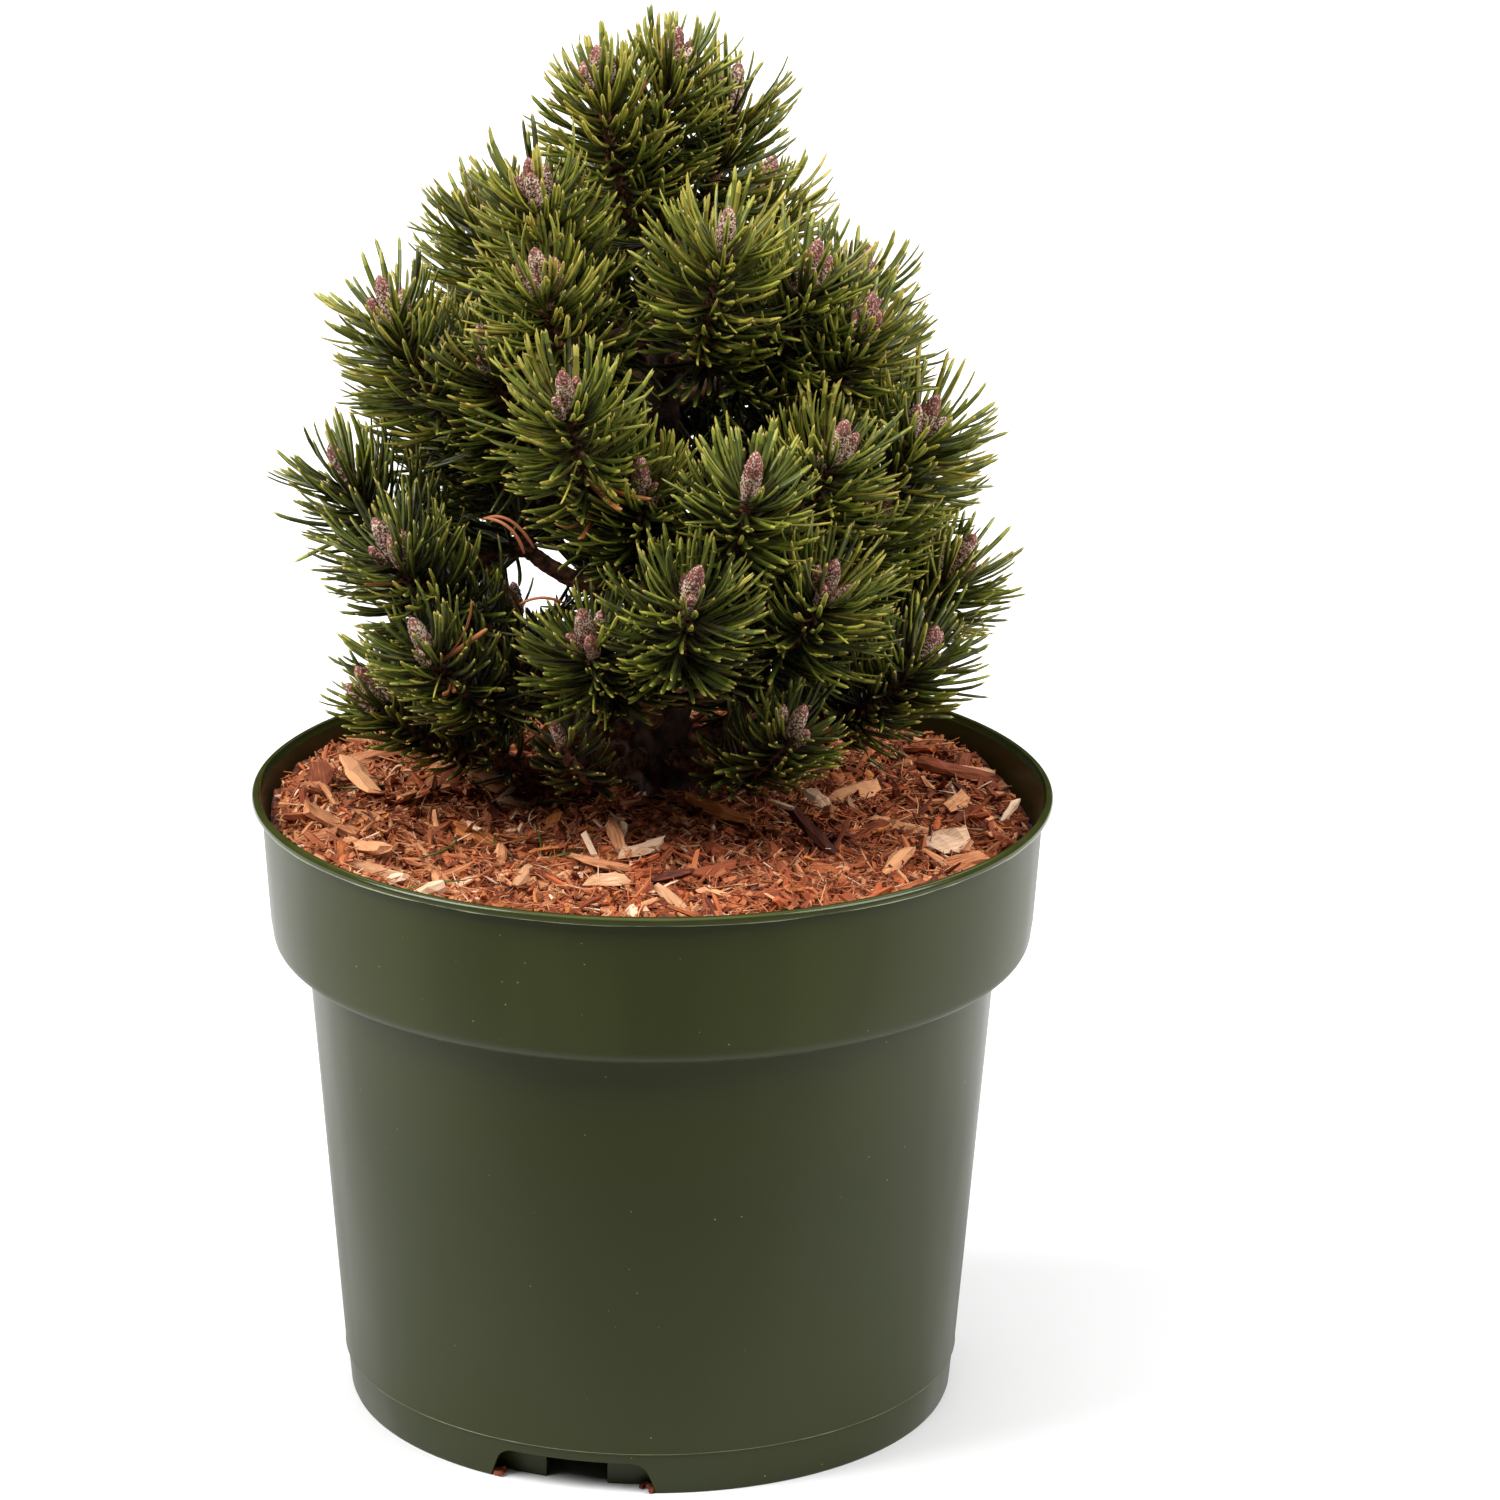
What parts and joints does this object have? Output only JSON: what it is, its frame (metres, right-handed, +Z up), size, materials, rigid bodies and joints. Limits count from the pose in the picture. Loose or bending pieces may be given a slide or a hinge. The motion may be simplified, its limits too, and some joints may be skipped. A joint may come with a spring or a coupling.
{
  "type": "mugo pine in a nursery pot",
  "caption": "Young dwarf mugo pine in a round green plastic nursery pot: a dense cone of upright shoots with stiff needles and winter buds, over bark mulch",
  "frame": {"origin": "centre of the pot's foot, on the surface that it stands on", "axes": "+Z up along the pot's axis; -Y is the side that the picture shows; +X is to the right there"},
  "size_m": [0.23, 0.23, 0.408],
  "materials": {
    "pot": "satin moulded polypropylene, dark olive green",
    "soil": "moist potting soil",
    "mulch": "loose shredded bark, reddish brown",
    "bark": "rough dark brown bark",
    "needles": "stiff satin green needles with yellow tips"
  },
  "bodies": {
    "root": {"bark_mulch": "mulch", "bough_front_centre": "bark", "bough_front_right": "bark", "bough_left_shoulder": "bark", "bough_left_side": "bark", "bough_low_front": "bark", "bough_low_front_right": "bark", "bough_low_left": "bark", "bough_low_right": "bark", "bough_lower_back_1": "bark", "bough_lower_back_2": "bark", "bough_lower_back_3": "bark", "bough_lower_back_4": "bark", "bough_middle_back_1": "bark", "bough_middle_back_2": "bark", "bough_middle_back_3": "bark", "bough_middle_back_4": "bark", "bough_right_shoulder": "bark", "bough_right_side": "bark", "bough_skirt_front": "bark", "bough_skirt_left": "bark", "bough_skirt_right": "bark", "bough_upper_back_1": "bark", "bough_upper_back_2": "bark", "bough_upper_back_3": "bark", "bough_upper_left": "bark", "bough_upper_right": "bark", "leading_shoots": "needles", "needles_front_centre": "needles", "needles_front_right": "needles", "needles_left_shoulder": "needles", "needles_left_side": "needles", "needles_low_front": "needles", "needles_low_front_right": "needles", "needles_low_left": "needles", "needles_low_right": "needles", "needles_lower_back_1": "needles", "needles_lower_back_2": "needles", "needles_lower_back_3": "needles", "needles_lower_back_4": "needles", "needles_middle_back_1": "needles", "needles_middle_back_2": "needles", "needles_middle_back_3": "needles", "needles_middle_back_4": "needles", "needles_right_shoulder": "needles", "needles_right_side": "needles", "needles_skirt_front": "needles", "needles_skirt_left": "needles", "needles_skirt_right": "needles", "needles_upper_back_1": "needles", "needles_upper_back_2": "needles", "needles_upper_back_3": "needles", "needles_upper_left": "needles", "needles_upper_right": "needles", "pot": "pot", "potting_soil": "soil", "trunk": "bark"}
  },
  "joints": []
}
